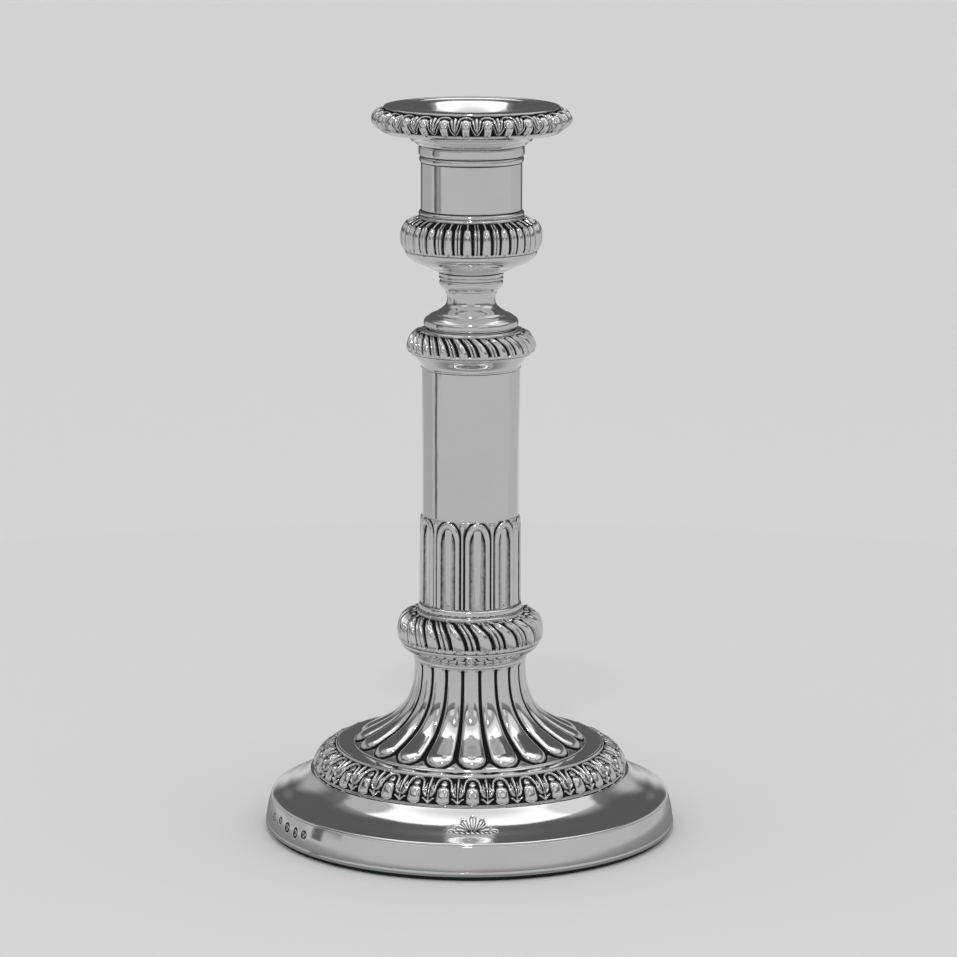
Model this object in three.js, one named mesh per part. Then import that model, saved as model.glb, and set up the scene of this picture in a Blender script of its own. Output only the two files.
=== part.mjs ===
// Telescopic silver candlestick, drawn closed.
// Millimetres, +Z up. The origin is on the axis, at the underside of the baize. The front is -Y.
//
// Three bodies: the foot with its column, the socket and stem on a draw tube that slides up out of
// the column, and the nozzle, which lifts out of the socket.

import * as THREE from 'three';

// ---------------------------------------------------------------------------------------------
// Driving dimensions
// ---------------------------------------------------------------------------------------------

const GAP = 0.3; // between neighbouring pieces
const SHEET = 0.9; // stamped silver sheet
const THIN = 0.4; // applied sleeve, and the column's wall under it

// Heights of the seams, from the table up: each piece ends GAP below the next one's seam.
const Z = {
  baizeTop: 0.9,
  rim: 1.1,
  boardTop: 3.2,
  skirt: 2.7,
  dome: 9.0,
  shoulder: 9.7,
  domeBend: 13.3,
  border: 17.5,
  plateTop: 23.1,
  foot: 23.4,
  cove: 46.6,
  knop: 51.4,
  band: 59.8,
  calyx: 61.9,
  calyxTop: 85.3,
  columnFoot: 44.5,
  collar: 125.2,
  collarGadroon: 129.5,
  flange: 136.1,
  spool: 139.2,
  stemCollar: 148.9,
  bowl: 151.2,
  bulge: 156.8,
  lowerRing: 165.8,
  socket: 167.1,
  reed: 179.7,
  mouth: 181.5,
  nozzle: 184.2,
  pan: 187.1,
  lip: 194.4,
};

// Radii
const R = {
  baize: 54.0,
  board: 52.6,
  rim: 55.0,
  shoulder: 53.0,
  domeBend: 46.0,
  borderOut: 41.9,
  borderIn: 35.8,
  lobeEnds: 30.4,
  footNeck: 14.85,
  knop: 19.7,
  band: 13.8,
  column: 12.9,
  columnBore: 12.1,
  guide: 11.8,
  drawTube: 11.5,
  packing: 11.95,
  collar: 17.2,
  flange: 12.5,
  waist: 6.4,
  stemCollar: 8.5,
  bulge: 18.8,
  socket: 13.3,
  socketBore: 12.6,
  cup: 12.2,
  mouth: 15.0,
  panWall: 22.0,
  lip: 22.4,
  nozzle: 26.4,
};

const CANDLE_BORE_WALL = 0.7; // the cup's wall, which leaves a bore 23 mm across
const CUP_FLOOR = 163.5; // underside of the cup
const PAN_TOP = 194.0; // a little below the border's lip
const DRAW_TUBE_WALL = 0.7;
const PLUG_FOOT = 50.0; // underside of the draw tube's plug when closed
const PACKING_HEIGHT = 4.6;

// Ornament: how many lobes there are round each pattern
const EGGS_ON_NOZZLE = 28;
const SOCKET_GADROONS = 22;
const COLLAR_GADROONS = 19;
const LAPPETS = 10;
const KNOP_GADROONS = 16;
const FLUTES = 20;
const EGGS_ON_FOOT = 33;
const COLLAR_TWIST = 0.055; // how the gadroons lean, in radians for each millimetre down
const KNOP_TWIST = 0.045;

// Where each pattern stands: the degrees from the front, towards +X, of one of its lobes
const FACING = {
  nozzleEggs: -3.3,
  socket: -3.2,
  collar: -6.5,
  lappets: 8.6,
  knop: -9,
  flutes: 1.5,
  footEggs: 1.2,
};

const ROUND = 32; // facets round a plain piece that shows
const HIDDEN = 24; // facets round a piece that doesn't show
const STEPS = 2; // points along each curved stretch of an outline
const FACETS_PER_LOBE = 2; // a ridge and a groove
const FACETS_PER_LAPPET = 4;

// ---------------------------------------------------------------------------------------------
// Materials
// ---------------------------------------------------------------------------------------------

const FINISHES = {
  silver: { color: 0xcfcfcd, roughness: 0.14, metalness: 1.0 },
  brass: { color: 0xb5924c, roughness: 0.3, metalness: 0.9 },
  leather: { color: 0x6e4526, roughness: 0.7, metalness: 0.0 },
  pitch: { color: 0x1d1712, roughness: 0.7, metalness: 0.0 },
  wood: { color: 0x8a6238, roughness: 0.65, metalness: 0.0 },
  baize: { color: 0x1f5a34, roughness: 0.95, metalness: 0.0 },
};

// ---------------------------------------------------------------------------------------------
// How pieces are made
// ---------------------------------------------------------------------------------------------

/** An outline in the plane of radius and height, which runs up the outside of the piece. */
function from(radius, height) {
  return new THREE.Path().moveTo(radius, height);
}

/** The unit normal to the left of a straight stretch, which is the inside of the sheet. */
function inward(start, end) {
  const along = end.clone().sub(start).normalize();
  return new THREE.Vector2(-along.y, along.x);
}

/**
 * The closed section of a piece of stamped sheet: its outer line, then that line set in by the wall.
 * Its two edges are cut level or upright, so that it meets its neighbours flat.
 */
function sheetSection(outer, wall = SHEET) {
  const line = outer.getPoints(STEPS);
  const normals = line.slice(1).map((point, i) => inward(line[i], point));
  const inner = line.map((point, i) => {
    const before = normals[Math.max(i - 1, 0)];
    const after = normals[Math.min(i, normals.length - 1)];
    const inset = before.clone().add(after);
    inset.multiplyScalar(wall / (1 + before.dot(after)));
    if (i === 0 || i === line.length - 1) {
      inset[Math.abs(inset.x) > Math.abs(inset.y) ? 'y' : 'x'] = 0;
      inset.setLength(wall);
    }
    return inset.add(point);
  });
  return [...line, ...inner.reverse(), line[0]];
}

/** The closed section of a ring or a turned solid: its outer line, then straight back down at the bore. */
function turnedSection(outer, bore = 0) {
  const line = outer.getPoints(STEPS);
  const top = new THREE.Vector2(bore, line[line.length - 1].y);
  const bottom = new THREE.Vector2(bore, line[0].y);
  const closing = bore > 0 ? [top, bottom, line[0]] : [top];
  return bore > 0 ? [...line, ...closing] : [bottom, ...line, ...closing];
}

/** A section turned about the upright axis. */
function turn(section, facets) {
  return new THREE.LatheGeometry(section, facets).rotateX(Math.PI / 2);
}

/**
 * Grooves between lobes, one lobe centred on the front. The grooves are sunk by depth(radius), and the
 * lobes lean by twist radians for each millimetre below the level where they stand straight.
 */
function lobed(geometry, count, depth, twist = 0, level = 0) {
  const position = geometry.attributes.position;
  for (let i = 0; i < position.count; i += 1) {
    const radius = Math.hypot(position.getX(i), position.getY(i));
    const angle = Math.atan2(position.getX(i), -position.getY(i));
    const groove = 1 - Math.abs(Math.cos((count * angle) / 2));
    const sunk = radius - groove * depth(radius);
    const turned = angle + twist * (level - position.getZ(i));
    position.setXY(i, sunk * Math.sin(turned), -sunk * Math.cos(turned));
  }
  return geometry;
}

function piece(name, geometry, finish = 'silver', facing = 0) {
  const mesh = new THREE.Mesh(geometry, new THREE.MeshStandardMaterial(FINISHES[finish]));
  mesh.name = name;
  mesh.rotation.z = THREE.MathUtils.degToRad(facing);
  return mesh;
}

/** A plain moulded ring on a bore. */
function ring(name, outer, bore, facets = ROUND) {
  return piece(name, turn(turnedSection(outer, bore), facets));
}

/** A plain disc. */
function disc(name, radius, bottom, top, finish, facets = ROUND) {
  const outline = from(radius, bottom).lineTo(radius, top);
  return piece(name, turn(turnedSection(outline), facets), finish);
}

// ---------------------------------------------------------------------------------------------
// Nozzle
// ---------------------------------------------------------------------------------------------

function nozzleBorder() {
  const outer = from(R.nozzle - 2.1, Z.pan + 1.8)
    .quadraticCurveTo(R.nozzle + 0.3, Z.pan + 2.3, R.nozzle, Z.pan + 3.7)
    .quadraticCurveTo(R.nozzle - 0.5, Z.lip - 1.2, R.lip + 0.8, Z.lip)
    .lineTo(R.lip, Z.lip - 0.1);
  const section = turnedSection(outer, R.lip);
  const eggs = lobed(turn(section, EGGS_ON_NOZZLE * FACETS_PER_LOBE), EGGS_ON_NOZZLE, (radius) =>
    radius > R.lip + 2 ? 0.5 : 0,
  );
  return piece('nozzle_border', eggs, 'silver', FACING.nozzleEggs);
}

/** Doubled sheet: the pan's level top, its wall inside the border, and its underside. */
function nozzlePan() {
  const skin = from(R.cup + GAP, Z.pan)
    .lineTo(R.cup + 5, Z.pan)
    .quadraticCurveTo(R.panWall - 0.8, Z.pan + 0.6, R.panWall, Z.pan + 3)
    .lineTo(R.panWall, PAN_TOP)
    .lineTo(R.mouth + GAP, PAN_TOP);
  return piece('nozzle_pan', turn(sheetSection(skin), ROUND));
}

function nozzleCollar() {
  const ogee = from(R.cup + 2, Z.nozzle)
    .quadraticCurveTo(R.cup + 3.5, Z.nozzle + 0.3, R.cup + 3.9, Z.nozzle + 1.1)
    .quadraticCurveTo(R.cup + 4.4, Z.pan - 0.9, R.cup + 6.8, Z.pan - GAP);
  return ring('nozzle_collar', ogee, R.cup + GAP);
}

/** The cup, whose mouth flares out to the pan's top. */
function nozzleCup() {
  const outer = from(0, CUP_FLOOR)
    .lineTo(R.cup, CUP_FLOOR)
    .lineTo(R.cup, Z.pan + 2.9)
    .lineTo(R.mouth, PAN_TOP);
  return piece('nozzle_cup', turn(sheetSection(outer, CANDLE_BORE_WALL), ROUND));
}

// ---------------------------------------------------------------------------------------------
// Socket
// ---------------------------------------------------------------------------------------------

function socketMouthBand() {
  const top = Z.nozzle - GAP;
  const outer = from(R.socket + 0.3, Z.mouth)
    .lineTo(R.socket + 0.6, Z.mouth + 0.5)
    .lineTo(R.socket + 0.6, top - 0.5)
    .lineTo(R.socket + 0.3, top);
  return ring('socket_mouth_band', outer, R.socketBore);
}

function socketReed() {
  const top = Z.mouth - GAP;
  const outer = from(R.socket, Z.reed).quadraticCurveTo(R.socket + 0.8, (Z.reed + top) / 2, R.socket, top);
  return ring('socket_reed', outer, R.socketBore);
}

function socketCylinder() {
  const outer = from(R.socket, Z.socket).lineTo(R.socket, Z.reed - GAP);
  return ring('socket_cylinder', outer, R.socketBore);
}

function socketLowerRing() {
  const top = Z.socket - GAP;
  const outer = from(R.socket + 0.2, Z.lowerRing)
    .quadraticCurveTo(R.socket + 0.9, (Z.lowerRing + top) / 2, R.socket + 0.1, top);
  return ring('socket_lower_ring', outer, R.socketBore);
}

function socketGadroonBand() {
  const top = Z.lowerRing - GAP;
  const outer = from(R.bulge - 1.4, Z.bulge)
    .quadraticCurveTo(R.bulge + 0.5, Z.bulge + 1.2, R.bulge, Z.bulge + 3.5)
    .quadraticCurveTo(R.bulge - 0.6, top - 1.2, R.socket + 1.8, top)
    .lineTo(R.socketBore + 0.4, top);
  const gadroons = lobed(
    turn(sheetSection(outer), SOCKET_GADROONS * FACETS_PER_LOBE),
    SOCKET_GADROONS,
    (radius) => (radius > R.socket + 1.5 ? 0.6 : 0),
  );
  return piece('socket_gadroon_band', gadroons, 'silver', FACING.socket);
}

function socketBowl() {
  const outer = from(0, Z.bowl)
    .lineTo(R.stemCollar - 0.1, Z.bowl)
    .quadraticCurveTo(R.bulge - 3.3, Z.bowl + 1, R.bulge - 1.3, Z.bulge - GAP);
  return piece('socket_bowl', turn(sheetSection(outer), ROUND));
}

// ---------------------------------------------------------------------------------------------
// Stem and draw tube
// ---------------------------------------------------------------------------------------------

function stemCollar() {
  const top = Z.bowl - GAP;
  const outer = from(R.stemCollar - 0.2, Z.stemCollar)
    .lineTo(R.stemCollar - 0.2, Z.stemCollar + 0.9)
    .lineTo(R.stemCollar + 0.1, top);
  return piece('stem_collar', turn(turnedSection(outer), ROUND));
}

function stemSpool() {
  const neck = Z.stemCollar - 3.6;
  const outer = from(R.flange - 2.6, Z.spool)
    .quadraticCurveTo(R.waist + 0.5, Z.spool + 1.2, R.waist, Z.spool + 3.8)
    .lineTo(R.waist + 0.4, neck)
    .quadraticCurveTo(R.waist + 0.9, neck + 1.4, R.stemCollar - 0.3, Z.stemCollar - 1.6)
    .lineTo(R.stemCollar - 0.3, Z.stemCollar - GAP);
  return piece('stem_spool', turn(turnedSection(outer), ROUND));
}

function stemFlange() {
  const top = Z.spool - GAP;
  const outer = from(R.flange - 0.4, Z.flange)
    .quadraticCurveTo(R.flange + 0.4, Z.flange + 0.7, R.flange - 0.1, Z.flange + 1.7)
    .lineTo(R.flange - 0.7, top);
  return piece('stem_flange', turn(turnedSection(outer), ROUND));
}

function drawTube() {
  const bottom = PLUG_FOOT + PACKING_HEIGHT + 1.8;
  const outer = from(R.drawTube, bottom).lineTo(R.drawTube, Z.flange - GAP);
  return ring('draw_tube', outer, R.drawTube - DRAW_TUBE_WALL);
}

function drawTubePlug() {
  const shoulder = PLUG_FOOT + 1.2;
  const spigot = shoulder + PACKING_HEIGHT + 2 * GAP;
  const outer = from(R.drawTube, PLUG_FOOT)
    .lineTo(R.drawTube, shoulder)
    .lineTo(R.drawTube - 2.1, shoulder)
    .lineTo(R.drawTube - 2.1, spigot)
    .lineTo(R.drawTube - DRAW_TUBE_WALL - GAP, spigot)
    .lineTo(R.drawTube - DRAW_TUBE_WALL - GAP, spigot + 4);
  return piece('draw_tube_plug', turn(turnedSection(outer), HIDDEN), 'brass');
}

function packingRing() {
  const bottom = PLUG_FOOT + 1.2 + GAP;
  const outer = from(R.packing, bottom).lineTo(R.packing, bottom + PACKING_HEIGHT);
  return piece('packing_ring', turn(turnedSection(outer, R.drawTube - 1.8), HIDDEN), 'leather');
}

// ---------------------------------------------------------------------------------------------
// Column and its collar
// ---------------------------------------------------------------------------------------------

function collarGadroonBand() {
  const top = Z.flange - 0.5;
  const outer = from(R.collar - 1.2, Z.collarGadroon)
    .quadraticCurveTo(R.collar + 0.4, Z.collarGadroon + 0.8, R.collar - 0.1, Z.collarGadroon + 2.7)
    .quadraticCurveTo(R.collar - 0.6, top - 1, R.column + 1.1, top)
    .lineTo(R.guide, top);
  const gadroons = lobed(
    turn(sheetSection(outer), COLLAR_GADROONS * FACETS_PER_LOBE),
    COLLAR_GADROONS,
    (radius) => (radius > R.column + 1 ? 0.7 : 0),
    COLLAR_TWIST,
    (Z.collarGadroon + top) / 2,
  );
  return piece('collar_gadroon_band', gadroons, 'silver', FACING.collar);
}

function collarMoulding() {
  const top = Z.collarGadroon - GAP;
  const outer = from(R.column + 0.3, Z.collar)
    .lineTo(R.column + 0.3, Z.collar + 1)
    .quadraticCurveTo(R.column + 0.8, top - 0.9, R.collar - 1.5, top - 0.4)
    .lineTo(R.collar - 1.5, top);
  return ring('collar_moulding', outer, R.guide);
}

function columnTube() {
  const neckTop = Z.calyxTop + GAP;
  const outer = from(R.columnBore + THIN, Z.columnFoot)
    .lineTo(R.columnBore + THIN, neckTop)
    .lineTo(R.column, neckTop + THIN)
    .lineTo(R.column, Z.collar - GAP);
  return ring('column_tube', outer, R.columnBore);
}

/** A thin sleeve whose upper edge is cut to round tops. */
function lappetCalyx() {
  const outer = from(R.columnBore + 2 * THIN + 0.35, Z.calyx)
    .lineTo(R.columnBore + 2 * THIN + 0.35, Z.calyxTop - 6)
    .lineTo(R.columnBore + 2 * THIN + 0.35, Z.calyxTop);
  const geometry = turn(turnedSection(outer, R.columnBore + THIN + GAP), LAPPETS * FACETS_PER_LAPPET);
  const position = geometry.attributes.position;
  for (let i = 0; i < position.count; i += 1) {
    if (position.getZ(i) > Z.calyxTop - 1) {
      const angle = Math.atan2(position.getX(i), -position.getY(i));
      const dip = 1 - Math.abs(Math.cos((LAPPETS * angle) / 2));
      position.setZ(i, Z.calyxTop - 3.5 * dip * dip);
    }
  }
  return piece('lappet_calyx', geometry, 'silver', FACING.lappets);
}

function calyxBand() {
  const top = Z.calyx - GAP;
  const outer = from(R.band - 0.3, Z.band)
    .quadraticCurveTo(R.band + 0.3, (Z.band + top) / 2, R.band - 0.3, top);
  return ring('calyx_band', outer, R.columnBore + THIN + GAP);
}

// ---------------------------------------------------------------------------------------------
// Knop and foot
// ---------------------------------------------------------------------------------------------

function knopGadroonBand() {
  const top = Z.band - GAP;
  const outer = from(R.knop - 1.3, Z.knop)
    .quadraticCurveTo(R.knop + 0.3, Z.knop + 1.2, R.knop, Z.knop + 3.2)
    .quadraticCurveTo(R.knop - 0.3, top - 0.9, R.band + 1.8, top)
    .lineTo(R.column + 0.3, top);
  const gadroons = lobed(
    turn(sheetSection(outer), KNOP_GADROONS * FACETS_PER_LOBE),
    KNOP_GADROONS,
    (radius) => (radius > R.band + 1.5 ? 0.8 : 0),
    KNOP_TWIST,
    (Z.knop + top) / 2,
  );
  return piece('knop_gadroon_band', gadroons, 'silver', FACING.knop);
}

function knopCove() {
  const top = Z.knop - GAP;
  const outer = from(R.footNeck + 0.1, Z.cove)
    .quadraticCurveTo(R.footNeck + 0.6, Z.cove + 1.6, R.knop - 0.8, top);
  return ring('knop_cove', outer, R.columnBore + THIN + GAP);
}

function columnSeatPlate() {
  const top = Z.columnFoot - GAP;
  return disc('column_seat_plate', R.footNeck - 1.4, top - 1.2, top, 'silver', HIDDEN);
}

function trumpetFoot() {
  const shin = Z.foot + 18.6;
  const outer = from(R.lobeEnds, Z.foot)
    .lineTo(R.lobeEnds, Z.foot + 0.9)
    .lineTo(R.lobeEnds - 3, Z.foot + 2.9)
    .bezierCurveTo(R.lobeEnds - 9, Z.foot + 5.6, R.footNeck + 0.4, Z.foot + 9, R.footNeck, shin)
    .lineTo(R.footNeck + 0.1, Z.cove - GAP);
  const spread = (radius) => (radius - R.footNeck) / (R.lobeEnds - R.footNeck);
  const grooveDepth = (radius) => 0.3 + 0.9 * Math.pow(spread(radius), 2);
  const flutes = lobed(turn(sheetSection(outer), FLUTES * FACETS_PER_LOBE), FLUTES, grooveDepth);
  return piece('trumpet_foot', flutes, 'silver', FACING.flutes);
}

function footPlate() {
  const outer = from(R.borderIn - GAP, Z.plateTop - SHEET).lineTo(R.borderIn - GAP, Z.plateTop);
  return ring('foot_plate', outer, R.lobeEnds - 4);
}

function footBorder() {
  const outer = from(R.borderOut - 0.7, Z.border)
    .quadraticCurveTo(R.borderOut + 0.5, Z.border + 0.8, R.borderOut - 0.8, Z.border + 2.4)
    .quadraticCurveTo(R.borderOut - 2.6, Z.plateTop - 0.4, R.borderIn, Z.plateTop);
  const eggs = lobed(turn(sheetSection(outer), EGGS_ON_FOOT * FACETS_PER_LOBE), EGGS_ON_FOOT, (radius) =>
    radius > R.borderIn + 2 ? 0.5 : 0,
  );
  return piece('foot_border', eggs, 'silver', FACING.footEggs);
}

// ---------------------------------------------------------------------------------------------
// Base
// ---------------------------------------------------------------------------------------------

/** It rises from a sharp shoulder, and steepens towards the border. */
function baseDome() {
  const outer = from(R.shoulder, Z.dome)
    .lineTo(R.shoulder, Z.shoulder)
    .quadraticCurveTo(R.domeBend + 3.3, Z.domeBend - 2.1, R.domeBend, Z.domeBend)
    .quadraticCurveTo(R.domeBend - 2.6, Z.domeBend + 2, R.borderOut - 0.3, Z.border - 0.5)
    .lineTo(R.borderOut - 4.4, Z.border - 0.5);
  return piece('base_dome', turn(sheetSection(outer), ROUND));
}

function baseSkirt() {
  const outer = from(R.rim - 0.2, Z.skirt)
    .quadraticCurveTo(R.rim - 0.5, Z.skirt + 4, R.shoulder + 0.2, Z.dome - GAP);
  return piece('base_skirt', turn(sheetSection(outer), ROUND));
}

function baseRimWire() {
  const top = Z.skirt - GAP;
  const outer = from(R.rim - 0.4, Z.rim).quadraticCurveTo(R.rim + 0.4, (Z.rim + top) / 2, R.rim - 0.4, top);
  return ring('base_rim_wire', outer, R.board + GAP);
}

function pitchFilling() {
  const skirtInside = R.shoulder - SHEET - GAP;
  const domeInside = Z.border - 0.5 - SHEET - GAP;
  const outer = from(skirtInside, Z.boardTop + GAP)
    .lineTo(skirtInside, Z.dome - 0.4)
    .lineTo(R.domeBend, Z.domeBend - 1.5)
    .lineTo(R.borderOut - 1.4, domeInside)
    .lineTo(R.borderIn - 1.4, domeInside)
    .lineTo(R.borderIn - 1.4, Z.plateTop - SHEET - GAP);
  return piece('pitch_filling', turn(turnedSection(outer), HIDDEN), 'pitch');
}

// ---------------------------------------------------------------------------------------------
// The candlestick
// ---------------------------------------------------------------------------------------------

function assembly(...pieces) {
  return new THREE.Group().add(...pieces);
}

const nozzle = assembly(nozzleBorder(), nozzlePan(), nozzleCollar(), nozzleCup());

const socket = assembly(
  socketMouthBand(),
  socketReed(),
  socketCylinder(),
  socketLowerRing(),
  socketGadroonBand(),
  socketBowl(),
);

const stem = assembly(stemCollar(), stemSpool(), stemFlange(), drawTube(), drawTubePlug(), packingRing());

const column = assembly(collarGadroonBand(), collarMoulding(), columnTube(), lappetCalyx(), calyxBand());

const foot = assembly(
  knopGadroonBand(),
  knopCove(),
  columnSeatPlate(),
  trumpetFoot(),
  footPlate(),
  footBorder(),
);

const base = assembly(
  baseDome(),
  baseSkirt(),
  baseRimWire(),
  pitchFilling(),
  disc('base_board', R.board, Z.rim + 0.1, Z.boardTop, 'wood'),
  disc('baize_disc', R.baize, 0, Z.baizeTop, 'baize'),
);

export default assembly(nozzle, socket, stem, column, foot, base);
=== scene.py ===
"""Telescopic silver candlestick: the visual model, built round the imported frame.

Profiles are in millimetres as (radius, height); the front is -Y and angles run from it towards +X.
"""

import math

import bpy
import numpy as np
from mathutils import Matrix, Vector


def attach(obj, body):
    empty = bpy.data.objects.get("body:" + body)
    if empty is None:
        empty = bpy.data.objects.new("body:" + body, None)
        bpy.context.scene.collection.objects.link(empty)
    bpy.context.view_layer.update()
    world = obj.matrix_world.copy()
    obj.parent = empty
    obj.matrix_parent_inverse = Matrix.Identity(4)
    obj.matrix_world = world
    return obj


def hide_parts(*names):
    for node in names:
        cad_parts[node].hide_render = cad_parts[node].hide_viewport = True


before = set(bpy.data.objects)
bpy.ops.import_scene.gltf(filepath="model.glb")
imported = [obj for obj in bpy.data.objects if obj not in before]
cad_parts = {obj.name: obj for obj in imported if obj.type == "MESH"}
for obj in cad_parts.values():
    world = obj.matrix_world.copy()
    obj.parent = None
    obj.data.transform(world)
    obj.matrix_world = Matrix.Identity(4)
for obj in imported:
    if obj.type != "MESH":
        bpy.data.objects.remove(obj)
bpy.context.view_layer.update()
MM = 0.001

# ---------------------------------------------------------------------------------------------
# Outlines
# ---------------------------------------------------------------------------------------------

FILLET = 0.13  # how far back from a corner its rounding starts
SUPPORT = 0.12  # a further row beyond the rounding, which keeps the flat beside it flat


def spline(points, step):
    """Points about step apart on a smooth curve through the given ones."""
    p = np.array(points, float)
    if len(p) == 2:
        count = max(1, round(math.dist(p[0], p[1]) / step))
        return p[0] + (p[1] - p[0]) * np.linspace(0, 1, count + 1)[:, None]
    t = np.r_[0, np.cumsum(np.hypot(*np.diff(p, axis=0).T))]
    slope = np.gradient(p, t, axis=0, edge_order=2)
    out = []
    for i in range(len(p) - 1):
        length = t[i + 1] - t[i]
        count = max(2, round(length / step))
        u = np.linspace(0, 1, count, endpoint=False)[:, None]
        out.append(
            (1 + 2 * u) * (1 - u) ** 2 * p[i]
            + u * (1 - u) ** 2 * length * slope[i]
            + u**2 * (3 - 2 * u) * p[i + 1]
            + u**2 * (u - 1) * length * slope[i + 1]
        )
    return np.vstack([*out, p[-1:]])


def rounded(before, corner, after):
    """The rows that round a corner off."""
    to_before, to_after = before - corner, after - corner
    room_before, room_after = np.linalg.norm(to_before), np.linalg.norm(to_after)
    d = min(FILLET, 0.4 * room_before, 0.4 * room_after)
    start, end = corner + to_before / room_before * d, corner + to_after / room_after * d
    t = np.linspace(0, 1, 5)[:, None]
    curve = (1 - t) ** 2 * start + 2 * t * (1 - t) * corner + t**2 * end
    rows = [curve]
    if room_before > d + 2 * SUPPORT:
        rows.insert(0, [corner + to_before / room_before * (d + SUPPORT)])
    if room_after > d + 2 * SUPPORT:
        rows.append([corner + to_after / room_after * (d + SUPPORT)])
    return np.vstack(rows)


def straight(points, step):
    """A straight stretch with rows only near its ends, step from them."""
    start, end = np.array(points, float)
    length = math.dist(start, end)
    if length < 3 * step:
        return spline(points, step)
    return start + (end - start) * np.array([0, step, length - step, length])[:, None] / length


def outline(stretches, step, whole=False, last_step=None):
    """One line through smooth stretches; each starts where the last one ended, at a rounded corner.

    With whole, straight stretches aren't divided, as suits a piece that carries no relief. last_step is for
    a last stretch that runs unseen inside the piece.
    """
    steps = [step] * (len(stretches) - 1) + [last_step or step]
    lines = [straight(s, d) if whole and len(s) == 2 else spline(s, d) for s, d in zip(stretches, steps)]
    out = [lines[0]]
    for line in lines[1:]:
        last = out[-1]
        corner = rounded(last[-2], last[-1], line[1])
        out[-1] = last[:-1]
        out.append(np.vstack([corner, line[1:]]))
    return np.vstack(out)


# ---------------------------------------------------------------------------------------------
# Relief: outlines of motifs as distances in mm, below zero inside
# ---------------------------------------------------------------------------------------------


def capsule(x, y, start, end, start_radius, end_radius):
    """Distance to a round-ended bar whose radius changes evenly along it."""
    dx, dy = end[0] - start[0], end[1] - start[1]
    t = np.clip(((x - start[0]) * dx + (y - start[1]) * dy) / (dx * dx + dy * dy), 0, 1)
    radius = start_radius + (end_radius - start_radius) * t
    return np.hypot(x - start[0] - t * dx, y - start[1] - t * dy) - radius


def stroke(x, y, points, width):
    """Distance to a line drawn through points, half as wide as width to each side."""
    far = np.inf
    for a, b in zip(points, points[1:]):
        far = np.minimum(far, capsule(x, y, a, b, width / 2, width / 2))
    return far


def swell(distance, radius, height):
    """A round-topped swelling inside an outline: radius is how far in it goes on rising."""
    inside = np.clip(-distance / radius, 0, 1)
    return height * np.sqrt(1 - (1 - inside) ** 2)


def ramp(value, low, high):
    """A smooth rise from 0 at low to 1 at high."""
    t = np.clip((value - low) / (high - low), 0, 1)
    return t * t * (3 - 2 * t)


def around(angle, count, facing, radius):
    """How far, in mm round the piece, each point is from the middle of the nearest repeat."""
    pitch = 360 / count
    local = (angle - facing + pitch / 2) % pitch - pitch / 2
    return np.radians(local) * radius


# ---------------------------------------------------------------------------------------------
# Meshes
# ---------------------------------------------------------------------------------------------

PLAIN_COLUMNS = 256  # points round a piece without relief
TURNED_STEP = 0.5  # mm between rows on the curves of such a piece
PLAIN_STEP = 0.8  # mm between rows beside a band of relief
HIDDEN_STEP = 2.0  # mm between rows on its inner wall
CUT_STEP = 0.2  # mm between rows where something is engraved
CUT_COLUMN = 0.13  # mm between columns there


def blurred(height, row_mm, column_mm, sigma):
    """The height field smoothed over sigma mm, all the way round."""
    for axis, spacing in ((0, row_mm), (1, column_mm)):
        reach = max(1, int(2.2 * sigma / spacing))
        offsets = np.arange(-reach, reach + 1)
        weights = np.exp(-0.5 * (offsets * spacing / sigma) ** 2)
        weights /= weights.sum()
        if axis == 0:
            padded = np.pad(height, ((reach, reach), (0, 0)), mode="edge")
            height = sum(w * padded[reach + k : reach + k + len(height)] for k, w in zip(offsets, weights))
        else:
            height = sum(w * np.roll(height, -k, axis=1) for k, w in zip(offsets, weights))
    return height


def mesh_piece(name, radius, height, angles, tarnish_and_shade):
    """A closed mesh from rows of points round the axis; a row at radius 0 is a single point."""
    rows, columns = radius.shape
    pole = [bool(np.all(r < 1e-6)) for r in radius]
    starts, verts, values = [], [], []
    total = 0
    for i in range(rows):
        starts.append(total)
        take = slice(0, 1) if pole[i] else slice(None)
        a, r = angles[take], radius[i, take]
        verts.append(np.stack([r * np.sin(a), -r * np.cos(a), height[i, take]], 1))
        values.append(tarnish_and_shade[i, take])
        total += len(a)
    faces = []
    j = np.arange(columns)
    k = (j + 1) % columns
    for i in range(rows):
        n = (i + 1) % rows
        if pole[i] and pole[n]:
            continue
        if pole[i]:
            faces.append(np.stack([np.full(columns, starts[i]), starts[n] + k, starts[n] + j], 1))
        elif pole[n]:
            faces.append(np.stack([starts[i] + j, starts[i] + k, np.full(columns, starts[n])], 1))
        else:
            faces.append(np.stack([starts[i] + j, starts[i] + k, starts[n] + k, starts[n] + j], 1))
    corners = np.concatenate([f.ravel() for f in faces]).astype(np.int32)
    sizes = np.concatenate([np.full(len(f), f.shape[1]) for f in faces]).astype(np.int32)
    mesh = bpy.data.meshes.new(name)
    mesh.vertices.add(total)
    mesh.vertices.foreach_set("co", (np.vstack(verts) * MM).astype(np.float32).ravel())
    mesh.loops.add(len(corners))
    mesh.loops.foreach_set("vertex_index", corners)
    mesh.polygons.add(len(sizes))
    mesh.polygons.foreach_set("loop_start", np.r_[0, np.cumsum(sizes)[:-1]].astype(np.int32))
    mesh.update(calc_edges=True)
    mesh.polygons.foreach_set("use_smooth", np.ones(len(sizes), bool))
    mesh.attributes.new("tarnish_and_shade", "FLOAT", "POINT").data.foreach_set(
        "value", np.concatenate(values).astype(np.float32)
    )
    mesh.validate()
    piece = bpy.data.objects.new(name, mesh)
    bpy.context.scene.collection.objects.link(piece)
    return piece


def place(piece, body, node, material):
    """Gives a piece its material and its body, and hides the CAD node that it stands for."""
    piece.data.materials.clear()
    piece.data.materials.append(material)
    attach(piece, body)
    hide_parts(node)
    return piece


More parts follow.
